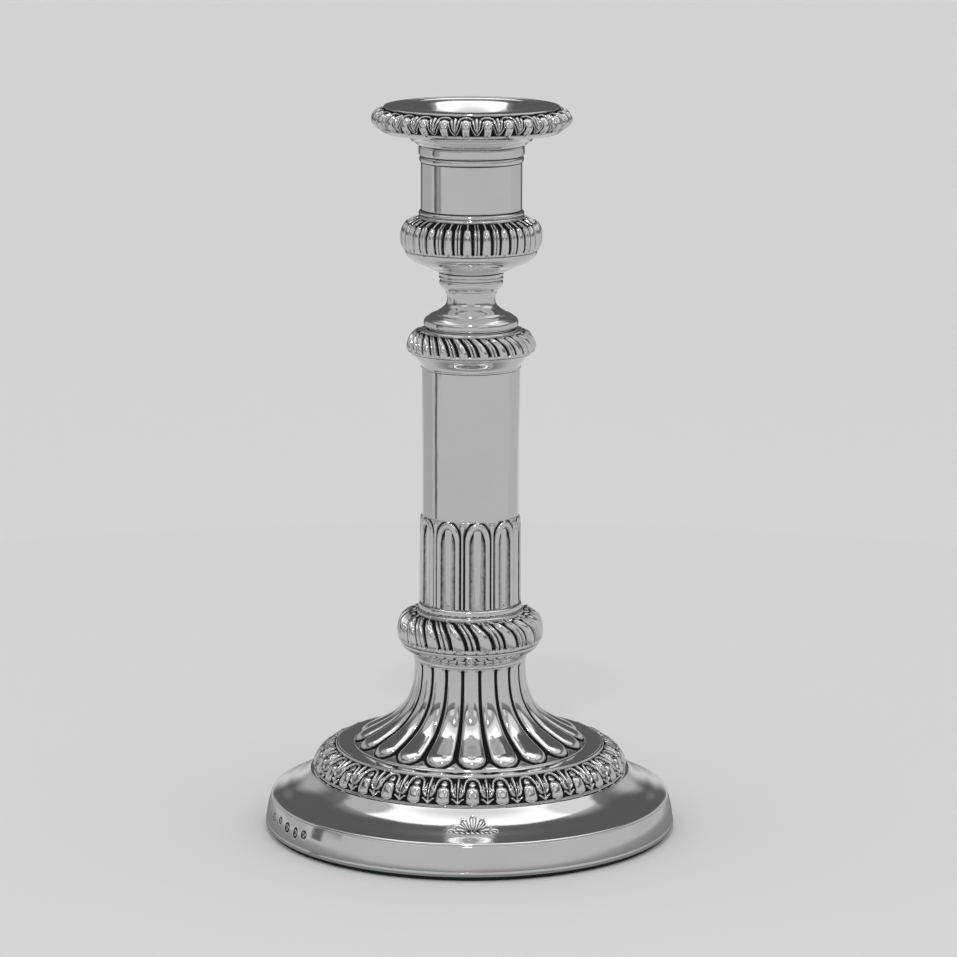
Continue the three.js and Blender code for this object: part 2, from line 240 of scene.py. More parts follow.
def opened(line):
    """A closed line without its last point, where that only repeats the first."""
    return line[:-1] if np.allclose(line[0], line[-1]) else line


def all_round(line, axis, columns):
    """The radius (axis 0) or height (axis 1) of each point of a line, repeated for every column."""
    return np.repeat(line[:, axis : axis + 1], columns, 1)


def directions(line):
    """The unit direction of a line at each of its points."""
    tangent = np.gradient(line, axis=0)
    return tangent / np.linalg.norm(tangent, axis=1)[:, None]


def bored(top, bottom, radius):
    """The way back from a ring's top to its bottom, by a flat top, a straight bore and a flat underside."""
    corners = [top, (radius, top[1]), (radius, bottom[1]), bottom]
    return [[a, b] for a, b in zip(corners, corners[1:]) if a != b]


def turned(node, body, outer, inner, columns=PLAIN_COLUMNS, material=None, seam=0.25):
    """A plain turned piece. outer runs up the outside; inner comes back down inside, or along the axis.

    seam is how far in mm the dark line at each end of the outside reaches.
    """
    line = opened(outline([*outer, *inner], TURNED_STEP, whole=True))
    angles = np.linspace(0, 2 * math.pi, columns, endpoint=False)
    radius, height = all_round(line, 0, columns), all_round(line, 1, columns)
    ends = np.array(outer[0][0]), np.array(outer[-1][-1])
    near = np.minimum(*(np.linalg.norm(line - end, axis=1) for end in ends))
    dark = np.repeat(np.clip(1 - near / max(seam, 1e-6), 0, 1)[:, None] * (seam > 0), columns, 1)
    piece = mesh_piece(node + "_turned", radius, height, angles, dark)
    return place(piece, body, node, material or SILVER)


def cut(node, body, outer, inner, marks, first, last):
    """A turned piece with marks(angle, radius, height) cut into it, between two angles in degrees."""
    face = outline(outer, CUT_STEP)
    line = opened(np.vstack([face, outline(inner, PLAIN_STEP)[1:]]))
    fine = round(np.radians(last - first) * face[:, 0].max() / CUT_COLUMN)
    around_it = np.r_[np.linspace(first, last, fine), np.linspace(last, first + 360, PLAIN_COLUMNS)[1:-1]]
    tangent = directions(line)
    near = (around_it % 360 - first % 360) % 360 <= last - first
    depth, darkness = marks(((around_it + 180) % 360 - 180)[None, :], line[:, :1], line[:, 1:])
    shown = near[None, :] & (np.arange(len(line)) < len(face))[:, None]
    depth, darkness = np.where(shown, depth, 0), np.where(shown, darkness, 0)
    radius = line[:, :1] - depth * tangent[:, 1:]
    height = line[:, 1:] + depth * tangent[:, :1]
    piece = mesh_piece(node + "_engraved", radius, height, np.radians(around_it), darkness)
    return place(piece, body, node, SILVER)


def embossed(node, body, below, band, above, relief, columns, step, groove=0.55, depth=0.3):
    """A turned piece whose band carries relief(angle, down, radius): height in mm, and how dark it is.

    below runs up to the band, and above goes on from it and back down the inside. Where the relief lies more
    than depth mm under its surroundings, groove mm around, it is as dark as it gets.
    """
    middle = spline(band, step)
    lower = outline(below, PLAIN_STEP)[:-1]
    upper = outline(above, PLAIN_STEP, last_step=HIDDEN_STEP)[1:]
    upper = upper[:-1] if np.allclose(upper[-1], lower[0]) else upper
    angles = np.linspace(0, 2 * math.pi, columns, endpoint=False)
    tangent = directions(middle)
    arc = np.r_[0, np.cumsum(np.linalg.norm(np.diff(middle, axis=0), axis=1))]
    raised, darkness = relief(np.degrees(angles)[None, :], (arc[-1] - arc)[:, None], middle[:, :1])
    column_mm = 2 * math.pi * float(middle[:, 0].mean()) / columns
    hollow = blurred(raised, step, column_mm, groove) - raised
    darkness = np.clip(np.clip(hollow / depth, 0, 1) + darkness, 0, 1)
    shown = middle[:, :1] + raised * tangent[:, 1:], middle[:, 1:] - raised * tangent[:, :1]
    rows = [np.vstack([all_round(lower, i, columns), shown[i], all_round(upper, i, columns)]) for i in (0, 1)]
    dark = np.zeros_like(rows[0])
    dark[len(lower) : len(lower) + len(middle)] = darkness
    piece = mesh_piece(node + "_chased", *rows, angles, dark)
    return place(piece, body, node, SILVER)


# ---------------------------------------------------------------------------------------------
# Materials
# ---------------------------------------------------------------------------------------------


class Shader:
    """A Principled material that is put together in a few lines."""

    def __init__(self, name, color, metallic=0.0, roughness=0.5, **sockets):
        self.material = bpy.data.materials.new(name)
        self.material.use_nodes = True
        self.tree = self.material.node_tree
        self.principled = self.tree.nodes["Principled BSDF"]
        self.set("Base Color", (*color, 1))
        self.set("Metallic", metallic)
        self.set("Roughness", roughness)
        for socket, value in sockets.items():
            self.set(socket.replace("_", " ").title(), value)
        self.coordinates = self.node("ShaderNodeTexCoord").outputs["Object"]

    def set(self, socket, value):
        self.principled.inputs[socket].default_value = value

    def node(self, kind, inputs=None, **settings):
        made = self.tree.nodes.new(kind)
        for key, value in settings.items():
            setattr(made, key, value)
        for key, value in (inputs or {}).items():
            if isinstance(value, bpy.types.NodeSocket):
                self.tree.links.new(value, made.inputs[key])
            else:
                made.inputs[key].default_value = value
        return made

    def noise(self, scale, detail=3.0, stretch=(1, 1, 1), roughness=0.5):
        mapping = self.node("ShaderNodeMapping", {"Vector": self.coordinates, "Scale": stretch})
        inputs = {"Scale": scale, "Detail": detail, "Roughness": roughness}
        return self.node("ShaderNodeTexNoise", {"Vector": mapping.outputs["Vector"], **inputs}).outputs["Fac"]

    def attribute(self, name):
        return self.node("ShaderNodeAttribute", attribute_name=name).outputs["Fac"]

    def math(self, operation, *values, clamp=False):
        made = self.node("ShaderNodeMath", dict(enumerate(values)), operation=operation)
        made.use_clamp = clamp
        return made.outputs[0]

    def between(self, value, low, high):
        """A value from 0 to 1, moved to the range from low to high."""
        inputs = {"Value": value, "To Min": low, "To Max": high}
        return self.node("ShaderNodeMapRange", inputs).outputs["Result"]

    def rise(self, value, start, end):
        """A smooth rise from 0 at start to 1 at end."""
        inputs = {"Value": value, "From Min": start, "From Max": end}
        return self.node("ShaderNodeMapRange", inputs, interpolation_type="SMOOTHSTEP").outputs["Result"]

    def mix(self, factor, first, second):
        made = self.node("ShaderNodeMix", data_type="RGBA")
        for index, value in ((0, factor), (6, first), (7, second)):
            if isinstance(value, bpy.types.NodeSocket):
                self.tree.links.new(value, made.inputs[index])
            else:
                made.inputs[index].default_value = value
        return made.outputs[2]

    def link(self, socket, value):
        self.tree.links.new(value, self.principled.inputs[socket])

    def bump(self, height, distance, strength=1.0, normal=None):
        inputs = {"Height": height, "Distance": distance, "Strength": strength}
        if normal:
            inputs["Normal"] = normal
        return self.node("ShaderNodeBump", inputs).outputs["Normal"]


def silver():
    """Polished silver with dark oxide in its recesses and painted shade at the tops of the lappet panels,
    faint waves from the hammer and fine hairlines.
    """
    s = Shader("silver_polished", (0.93, 0.925, 0.915), 1.0, 0.07)
    # The attribute read here is oxide in the recesses and dark joints, and also the painted shade at the tops
    # of the lappet panels; noise mottles it.
    stain_and_shade = s.math("ADD", s.attribute("tarnish_and_shade"), s.between(s.noise(900.0, 3.0), -0.16, 0.16))
    darkness = s.rise(stain_and_shade, 0.16, 0.8)
    bloom = s.rise(s.noise(70.0, 4.0), 0.35, 0.8)
    clean = s.mix(s.math("MULTIPLY", bloom, 0.35), (0.94, 0.935, 0.925, 1), (0.84, 0.825, 0.8, 1))
    s.link("Base Color", s.mix(darkness, clean, (0.018, 0.017, 0.016, 1)))
    bare = s.math("SUBTRACT", 1.0, darkness)
    s.link("Metallic", bare)
    s.link("Specular IOR Level", s.math("MULTIPLY", bare, 0.5))
    polish = s.between(s.noise(160.0, 5.0), 0.045, 0.10)
    hairs = s.rise(s.noise(2600.0, 2.0, (1, 1, 0.08)), 0.62, 0.8)
    rough = s.math("ADD", polish, s.math("MULTIPLY", hairs, 0.10))
    s.link("Roughness", s.math("ADD", rough, s.math("MULTIPLY", darkness, 0.36), clamp=True))
    waves = s.bump(s.noise(55.0, 1.0), 0.00035, 0.35)
    s.link("Normal", s.bump(s.noise(2200.0, 2.0, (1, 1, 0.15)), 0.000012, 0.5, waves))
    return s.material


def brass():
    s = Shader("brass_turned", (0.71, 0.55, 0.27), 1.0, 0.3)
    s.link("Base Color", s.mix(s.noise(160.0, 5.0), (0.74, 0.58, 0.30, 1), (0.48, 0.34, 0.15, 1)))
    s.link("Roughness", s.between(s.noise(500.0, 4.0), 0.2, 0.45))
    s.link("Normal", s.bump(s.noise(1500.0, 2.0, (0.1, 0.1, 1)), 0.00003, 0.6))
    return s.material


def leather():
    s = Shader("leather_packing", (0.38, 0.22, 0.11), 0.0, 0.6)
    s.link("Base Color", s.mix(s.noise(400.0, 5.0), (0.44, 0.27, 0.14, 1), (0.22, 0.12, 0.06, 1)))
    grain = s.node("ShaderNodeTexVoronoi", {"Vector": s.coordinates, "Scale": 1800.0})
    s.link("Normal", s.bump(grain.outputs["Distance"], 0.00015, 0.6))
    s.link("Roughness", s.between(s.noise(700.0), 0.45, 0.75))
    return s.material


def pitch():
    s = Shader("pitch_loading", (0.02, 0.016, 0.012), 0.0, 0.4)
    s.link("Base Color", s.mix(s.noise(120.0, 6.0), (0.014, 0.011, 0.009, 1), (0.06, 0.045, 0.032, 1)))
    s.link("Roughness", s.between(s.noise(90.0, 5.0), 0.25, 0.7))
    s.link("Normal", s.bump(s.noise(220.0, 6.0), 0.0008, 0.7))
    return s.material


def wood():
    s = Shader("wood_board", (0.42, 0.27, 0.14), 0.0, 0.55)
    rings = s.noise(45.0, 6.0, (0.12, 1, 1))
    pores = s.rise(s.noise(1500.0, 2.0, (0.05, 1, 1)), 0.58, 0.75)
    grain = s.mix(rings, (0.50, 0.33, 0.17, 1), (0.30, 0.17, 0.08, 1))
    s.link("Base Color", s.mix(s.math("MULTIPLY", pores, 0.6), grain, (0.12, 0.07, 0.04, 1)))
    s.link("Roughness", s.between(s.noise(300.0), 0.45, 0.7))
    s.link("Normal", s.bump(pores, 0.0001, 0.5))
    return s.material


def baize():
    # The baize's dark green is painted almost black, so that it also stands for the shade under the base's
    # rim.
    s = Shader("baize_green_shade_darkened", (0.01, 0.05, 0.025), 0.0, 0.95, sheen_weight=0.06, sheen_roughness=0.4)
    nap = s.noise(900.0, 6.0, roughness=0.7)
    s.link("Base Color", s.mix(nap, (0.002, 0.012, 0.006, 1), (0.008, 0.034, 0.017, 1)))
    fibres = s.noise(2600.0, 6.0, (1, 0.35, 1), 0.8)
    s.link("Normal", s.bump(fibres, 0.0004, 0.9))
    s.link("Roughness", s.between(fibres, 0.85, 1.0))
    return s.material


SILVER = silver()
BRASS, LEATHER, PITCH, WOOD, BAIZE = brass(), leather(), pitch(), wood(), baize()

# ---------------------------------------------------------------------------------------------
# Ornament
# ---------------------------------------------------------------------------------------------

EGGS_ON_NOZZLE = 28
SOCKET_GADROONS = 22
COLLAR_GADROONS = 19
LAPPETS = 10
KNOP_GADROONS = 16
FLUTES = 20
EGGS_ON_FOOT = 33

# The angle in degrees at which one of each pattern's main motifs stands.
FACING = {
    "nozzle": -3.3,
    "socket": -3.2,
    "collar": -6.5,
    "lappets": 8.6,
    "knop": -9.0,
    "flutes": 1.5,
    "foot": 1.2,
}


def opposite(count, facing):
    """Where the motifs between a pattern's main motifs stand."""
    return facing + 180 / count


def mirrored(x, y, points, width):
    """Strokes on both sides of a motif's middle."""
    return np.minimum(stroke(x, y, points, width), stroke(-x, y, points, width))


def nozzle_eggs(angle, down, radius):
    """Eggs under scalloped hoods, with a ribbed shell between them that narrows to a point below."""
    girth = 25.5
    x = around(angle, EGGS_ON_NOZZLE, FACING["nozzle"], girth)
    y = down + 0 * x
    shell_x = around(angle, EGGS_ON_NOZZLE, opposite(EGGS_ON_NOZZLE, FACING["nozzle"]), girth)
    sunk = ramp(y, 0.45, 0.9) * (1 - ramp(y, 8.95, 9.2))
    egg = swell(capsule(x, y, (0, 3.5), (0, 9.6), 1.18, 1.0), 1.05, 1.0)
    hood = swell(mirrored(x, y, [(0, 1.15), (0.9, 1.35), (1.7, 2.05), (1.75, 3.2)], 0.5), 0.25, 0.6)
    shell = swell(capsule(shell_x, y, (0, 3.0), (0, 8.2), 1.42, 0.12), 0.65, 0.85)
    fan = np.arctan2(shell_x, 8.8 - y)
    shell = np.where(shell > 0, shell * (0.7 + 0.3 * np.cos(fan * 34)), 0)
    strap = swell(mirrored(shell_x, y, [(1.75, 3.0), (1.55, 4.6), (0.75, 7.4), (0.2, 8.5)], 0.3), 0.15, 0.62)
    motif = np.maximum.reduce([egg, hood, shell, strap])
    darkness = 0.85 * np.clip(1 - motif / 0.5, 0, 1) + 0.4 * np.clip(1 - motif / 0.98, 0, 1)
    return sunk * (np.minimum(motif, 1.0) - 1.0), sunk * np.clip(darkness, 0, 1)


def foot_eggs(angle, down, radius):
    """Eggs under hoods, with a ribbed acanthus leaf between them."""
    girth = 41.0
    x = around(angle, EGGS_ON_FOOT, FACING["foot"], girth)
    y = down + 0 * x
    leaf_x = around(angle, EGGS_ON_FOOT, opposite(EGGS_ON_FOOT, FACING["foot"]), girth)
    sunk = ramp(y, 0.7, 1.1) * (1 - ramp(y, 10.5, 10.75))
    egg = swell(capsule(x, y, (0, 6.3), (0, 9.2), 1.72, 1.86), 1.5, 1.05)
    cap = swell(capsule(x, y, (0, 3.3), (0, 3.8), 0.85, 1.05), 0.7, 0.6)
    arch = [(0, 1.5), (1.0, 1.75), (1.85, 2.8), (2.25, 4.8), (2.2, 6.2)]
    hood = swell(mirrored(x, y, arch, 0.6), 0.3, 0.85)
    body = swell(capsule(leaf_x, y, (0, 2.5), (0, 6.0), 0.95, 1.55), 0.6, 0.8)
    fan = np.arctan2(leaf_x, 10.6 - y)
    body = np.where(body > 0, body * (0.6 + 0.4 * np.cos(fan * 40)), 0)
    vein = swell(stroke(leaf_x, y, [(0, 1.3), (0, 10.2)], 0.42), 0.21, 1.0)
    curls = swell(mirrored(leaf_x, y, [(0.7, 5.2), (1.35, 6.1), (1.2, 7.2), (0.6, 7.8)], 0.68), 0.34, 0.95)
    feet = swell(mirrored(leaf_x, y, [(0.1, 9.9), (0.8, 9.0), (1.4, 8.5)], 0.6), 0.3, 0.85)
    motif = np.maximum.reduce([egg, cap, hood, body, vein, curls, feet])
    darkness = 0.9 * np.clip(1 - motif / 0.55, 0, 1) + 0.5 * np.clip(1 - motif / 1.04, 0, 1)
    return sunk * (np.minimum(motif, 1.05) - 1.05), sunk * np.clip(darkness, 0, 1)


def gadroons(count, facing, girth, lean, top, bottom, wide, reed, reed_at, height):
    """Wide lobes with a pair of reeds between each two; lean is how many degrees their tops trail.

    wide and reed are half widths and reed_at half the distance between two reeds, in mm where the radius is
    girth. Above top, only thin crests rise from a dark ground.
    """

    def relief(angle, down, radius):
        swept = angle + lean * (1 - down / down.max()) ** 2
        x = around(swept, count, facing, girth)
        reed_x = np.abs(around(swept, count, opposite(count, facing), girth))
        y = down + 0 * x
        lobe = capsule(x, y, (0, top + 0.6 * wide), (0, bottom + wide), wide * 0.72, wide)
        lobe = swell(lobe, wide, height)
        start = top + reed
        pair = capsule(reed_x, y, (reed_at, start), (reed_at, bottom + reed), reed, reed)
        pair = swell(pair, reed, 0.85 * height)
        crest = stroke(x, y, [(0, 0.5), (0, top + wide)], 0.42 * wide)
        crest = swell(crest, 0.21 * wide, 0.6 * height)
        ridge = stroke(reed_x, y, [(reed_at, 1.2), (reed_at, start)], 0.8 * reed)
        ridge = swell(ridge, 0.4 * reed, 0.55 * height)
        motif = np.maximum.reduce([lobe, pair, crest, ridge])
        sunk = ramp(y, 0.1, 0.4) * (1 - ramp(y, bottom, bottom + 0.25))
        ground = np.clip(1 - motif / (0.55 * height), 0, 1)
        bare = 1 - ramp(crest + ridge, 0.3 * height, 0.5 * height)
        shoulder = 0.8 * (1 - ramp(y, top, top + 1.2 * wide)) * bare
        return sunk * (np.minimum(motif, height) - height), sunk * np.clip(0.95 * ground + shoulder, 0, 0.95)

    return relief


def lappets(angle, down, radius):
    """Round-topped lappets with a raised rim and a hollow panel, and a budded dart between each two."""
    x = around(angle, LAPPETS, FACING["lappets"], radius)
    y = down + 0 * x
    dart_x = around(angle, LAPPETS, opposite(LAPPETS, FACING["lappets"]), radius)
    half, panel_half = 3.32, 2.15
    outer = (np.hypot(x / half, np.minimum(y - 5.3, 0) / 5.0) - 1) * half
    panel = (np.hypot(x / panel_half, np.minimum(y - 6.4, 0) / 4.3) - 1) * panel_half
    rim = swell(np.maximum(outer, -panel), 0.5, 0.55)
    hollow = np.where(panel < 0, 0.42 * np.clip(x / panel_half, -1, 1) ** 2 - 0.4, 0)
    stem = swell(stroke(dart_x, y, [(0, 3.0), (0, 25.0)], 0.56), 0.28, 0.42)
    bud = swell(capsule(dart_x, y, (0, 1.3), (0, 2.8), 0.72, 0.4), 0.6, 0.5)
    motif = np.maximum.reduce([rim, stem, bud])
    ground = (outer > 0) & (motif <= 0)
    ditch = np.where(ground, 0.2 * np.clip(1 - (np.minimum(outer, 0.8) - 0.25) / 0.5, 0, 1), 0)
    height = np.where(motif > 0, np.maximum(motif, hollow), hollow) - ditch
    inside = ramp(y, 0.0, 0.3)
    brink = np.clip(1 - np.abs(panel + 0.2) / 1.5, 0, 1)
    # Patina darkens each hollow panel, and the top of the panel is painted darker still, as the shade under
    # the arch.
    panel_oxide_and_shade = (0.34 + 0.08 * (1 - ramp(y, 3.0, 9.0))) * (panel < 0)
    patina_and_shade = panel_oxide_and_shade + 0.14 * brink + 0.34 * ground + 0.2 * (ditch > 0.1)
    return height * inside, patina_and_shade * inside


def flutes(angle, down, radius):
    """Convex lobes that widen down the foot and end in round spoons, with sharp dark valleys between them."""
    x = around(angle, FLUTES, FACING["flutes"], radius)
    length = down.max()
    along = length - down - 0.35
    half = 0.87 * np.pi / FLUTES * radius
    end_half = half[0, 0]
    past = np.maximum(end_half * 0.95 - along, 0)
    edge = np.hypot(x, past) - half
    spread = np.clip((radius - 14.8) / 15.0, 0, 1)
    height = 0.75 + 0.75 * spread**0.8
    lobe = height * np.sqrt(1 - (1 - np.clip(-edge / half, 0, 1)) ** 2.4)
    valley = np.clip(1 - lobe / (0.72 * height), 0, 1)
    flat = ramp(down, 0.1, 0.7)
    beyond = (past > 0) * ramp(edge, 0.25, 0.7)
    return (lobe - height) * flat, 0.95 * (1 - beyond) * valley * flat


def sprig(angle, radius, height):
    """An engraved spray of leaves over a short twisted bar, on the front of the dome."""
    middle, girth, top_radius, slant = 1.2, 47, 44.3, 1.2
    x = np.radians(angle - middle) * girth
    y = (radius - top_radius) * slant + 0 * x
    bar = stroke(x, y, [(-5.6, 5.3), (-3.0, 5.75), (0, 5.9), (3.0, 5.75), (5.6, 5.3)], 0.9)
    lines = np.abs(bar) - 0.13
    leaves = (-4.6, 3.2, 0.75), (-3.0, 1.1, 0.8), (0, 0.3, 0.85), (3.0, 1.1, 0.8), (4.6, 3.2, 0.75)
    for tip_x, tip_y, width in leaves:
        leaf = capsule(x, y, (tip_x * 0.25, 5.0), (tip_x * 0.8, tip_y + 0.9), 0.2, width)
        vein = stroke(x, y, [(tip_x * 0.25, 5.0), (tip_x, tip_y)], 0.2)
        lines = np.minimum.reduce([lines, np.abs(leaf) - 0.12, vein])
    twist = np.abs((x * 0.9 - y + 50) % 1.1 - 0.55) - 0.2
    line = 1 - ramp(np.minimum(lines, np.maximum(twist, bar)), -0.08, 0.1)
    return 0.12 * line, 0.8 * line


def punch_marks(angle, radius, height):
    """Five small plain punch marks in a row on the left of the skirt, worn and without lettering."""
    girth = 53.8
    far, beads = np.inf, np.inf
    for facing, level, wide, tall in (
        (-73.5, 6.0, 0.9, 1.1),
        (-67.6, 6.5, 1.1, 0.9),
        (-62.4, 5.9, 1.3, 1.3),
        (-57.4, 5.6, 1.0, 1.4),
        (-53.2, 6.0, 1.2, 1.1),
    ):
        x = np.radians(angle - facing) * girth
        y = height - level + 0 * x
        across, up = np.abs(x) / wide, np.abs(y) / tall
        far = np.minimum(far, (np.maximum(np.maximum(across, up), (across + up) / 1.45) - 1) * wide)
        for bead_x, bead_y in ((-0.35, 0.4), (0.4, 0.15), (-0.1, -0.45)):
            beads = np.minimum(beads, np.hypot((x - bead_x * wide) * 0.8, y - bead_y * tall) - 0.2)
    sunk = 1 - ramp(far, -0.2, 0.12)
    bead = 1 - ramp(beads, -0.12, 0.15)
    rim = np.clip(1 - np.abs(far + 0.1) / 0.22, 0, 1)
    return 0.14 * sunk * (1 - bead), np.clip(0.7 * rim + 0.7 * sunk * (1 - bead), 0, 0.9)


# ---------------------------------------------------------------------------------------------
# Nozzle
# ---------------------------------------------------------------------------------------------

embossed(
    "nozzle_border",
    "nozzle",
    below=[[(22.1, 187.35), (22.7, 187.4), (23.4, 187.75), (24.0, 188.2)]],
    band=[(24.0, 188.2), (25.5, 189.2), (26.4, 190.6), (26.0, 192.0), (24.5, 193.6), (22.5, 194.38)],
    above=[[(22.5, 194.38), (22.3, 194.2)], [(22.3, 194.2), (22.1, 193.6)], [(22.1, 193.6), (22.1, 187.35)]],
    relief=nozzle_eggs,
    columns=EGGS_ON_NOZZLE * 43,
    step=0.17,
    depth=0.22,
)
turned(
    "nozzle_pan",
    "nozzle",
    outer=[
        [(14.6, 187.1), (18.4, 187.05), (20.6, 187.3), (21.9, 187.9)],
        [(21.9, 187.9), (22.05, 193.6)],
        [(22.05, 193.6), (21.95, 194.05), (21.65, 194.28), (21.3, 194.08), (21.0, 193.78)],
        [(21.0, 193.78), (19.5, 193.66), (16.5, 193.8), (15.05, 193.98)],
    ],
    inner=[
        [(15.05, 193.98), (15.05, 193.1)],
        [(15.05, 193.1), (21.2, 193.0)],
        [(21.2, 193.0), (21.1, 189.3), (20.0, 188.3), (18.4, 188.0), (14.6, 188.0)],
        [(14.6, 188.0), (14.6, 187.1)],
    ],
)
turned(
    "nozzle_collar",
    "nozzle",
    outer=[
        [(12.5, 184.1), (13.9, 184.1)],
        [(13.9, 184.1), (14.5, 184.4), (15.0, 184.9), (15.9, 185.3)],
        [(15.9, 185.3), (16.0, 185.6)],
        [(16.0, 185.6), (16.6, 186.0), (17.7, 186.5), (19.2, 187.0)],
    ],
    inner=bored((19.2, 187.0), (12.5, 184.1), 12.5),
)
turned(
    "nozzle_cup",
    "nozzle",
    outer=[
        [(0, 163.5), (12.0, 163.5)],
        [(12.0, 163.5), (12.2, 163.7)],
        [(12.2, 163.7), (12.2, 189.5)],
        [(12.2, 189.5), (12.5, 190.6), (14.9, 193.6)],
        [(14.9, 193.6), (15.0, 193.95)],
    ],
    inner=[
        [(15.0, 193.95), (14.8, 194.1), (14.5, 193.95)],
        [(14.5, 193.95), (13.9, 193.3), (12.6, 191.8), (11.7, 190.4), (11.5, 189.4)],
        [(11.5, 189.4), (11.5, 164.3)],
        [(11.5, 164.3), (0, 164.2)],
    ],
    columns=320,
    seam=0.1,
)

# ---------------------------------------------------------------------------------------------
# Socket
# ---------------------------------------------------------------------------------------------

BORE = 12.6

turned(
    "socket_mouth_band",
    "upper",
    outer=[
        [(13.5, 181.35), (13.85, 181.75), (13.95, 182.3)],
        [(13.95, 182.3), (13.9, 183.6)],
        [(13.9, 183.6), (13.4, 184.0)],
    ],
    inner=bored((13.4, 184.0), (13.5, 181.35), BORE),
)
turned(
    "socket_reed",
    "upper",
    outer=[[(13.3, 179.6), (13.65, 179.95), (13.75, 180.5), (13.6, 181.0), (13.35, 181.25)]],
    inner=bored((13.35, 181.25), (13.3, 179.6), BORE),
)
turned(
    "socket_cylinder",
    "upper",
    outer=[[(13.3, 166.95), (13.3, 179.55)]],
    inner=bored((13.3, 179.55), (13.3, 166.95), BORE),
)
turned(
    "socket_lower_ring",
    "upper",
    outer=[[(13.5, 165.7), (13.85, 166.0), (13.85, 166.5), (13.4, 166.9)]],
    inner=bored((13.4, 166.9), (13.5, 165.7), BORE),
)
embossed(
    "socket_gadroon_band",
    "upper",
    below=[[(16.0, 156.55), (17.7, 156.6)]],
    band=[
        (17.7, 156.6),
        (18.4, 157.6),
        (18.75, 159.5),
        (18.5, 162.1),
        (17.1, 164.2),
        (15.2, 165.3),
        (13.8, 165.65),
    ],
    above=[
        [(13.8, 165.65), (13.0, 165.6)],
        [(13.0, 165.6), (13.1, 163.8)],
        [(13.1, 163.8), (15.2, 162.4), (16.2, 160.4), (16.3, 158.3), (16.0, 156.55)],
    ],
    relief=gadroons(
        SOCKET_GADROONS,
        FACING["socket"],
        girth=18.6,
        lean=0,
        top=3.6,
        bottom=11.5,
        wide=1.42,
        reed=0.42,
        reed_at=0.46,
        height=1.05,
    ),
    columns=SOCKET_GADROONS * 48,
    step=0.19,
)
turned(
    "socket_bowl",
    "upper",
    outer=[
        [(0, 150.55), (8.4, 150.55)],
        [(8.4, 150.55), (9.6, 151.0), (10.6, 151.5)],
        [(10.6, 151.5), (10.75, 151.8)],
        [(10.75, 151.8), (12.6, 152.55), (15.2, 153.6), (16.6, 154.7), (17.35, 155.8), (17.45, 156.5)],
    ],
    inner=[
        [(17.45, 156.5), (16.5, 156.45)],
        [(16.5, 156.45), (15.6, 155.0), (12.4, 153.5), (8.0, 152.3), (0, 152.0)],
    ],
)

# ---------------------------------------------------------------------------------------------
# Stem and draw tube
# ---------------------------------------------------------------------------------------------

turned(
    "stem_collar",
    "upper",
    outer=[
        [(0, 148.65), (8.1, 148.65)],
        [(8.1, 148.65), (8.45, 148.9), (8.45, 149.3), (8.2, 149.5)],
        [(8.2, 149.5), (8.35, 149.7), (8.5, 150.1), (8.4, 150.5)],
    ],
    inner=[[(8.4, 150.5), (0, 150.5)]],
)
turned(
    "stem_spool",
    "upper",
    outer=[
        [(0, 139.0), (9.5, 139.0)],
        [(9.5, 139.0), (9.3, 139.6), (7.8, 140.8), (6.7, 141.9), (6.35, 143.0), (6.4, 144.1), (6.75, 145.2)],
        [(6.75, 145.2), (6.7, 145.5)],
        [(6.7, 145.5), (7.1, 145.8), (7.5, 146.2), (8.2, 147.1), (8.4, 147.8)],
        [(8.4, 147.8), (8.3, 148.3), (7.9, 148.6)],
    ],
    inner=[[(7.9, 148.6), (0, 148.6)]],
)
turned(
    "stem_flange",
    "upper",
    outer=[
        [(0, 135.95), (12.0, 135.95)],
        [(12.0, 135.95), (12.4, 136.3), (12.52, 137.0), (12.4, 137.7), (11.95, 138.35)],
        [(11.95, 138.35), (11.75, 138.3)],
        [(11.75, 138.3), (11.2, 138.85), (10.5, 139.3), (9.9, 139.45)],
        [(9.9, 139.45), (9.6, 139.2), (9.55, 138.95)],
    ],
    inner=[[(9.55, 138.95), (0, 138.95)]],
)
turned(
    "draw_tube",
    "upper",
    outer=[[(11.1, 56.4), (11.5, 56.7)], [(11.5, 56.7), (11.5, 135.85)]],
    inner=bored((11.5, 135.85), (11.1, 56.4), 10.8),
)

# ---------------------------------------------------------------------------------------------
# Column
# ---------------------------------------------------------------------------------------------

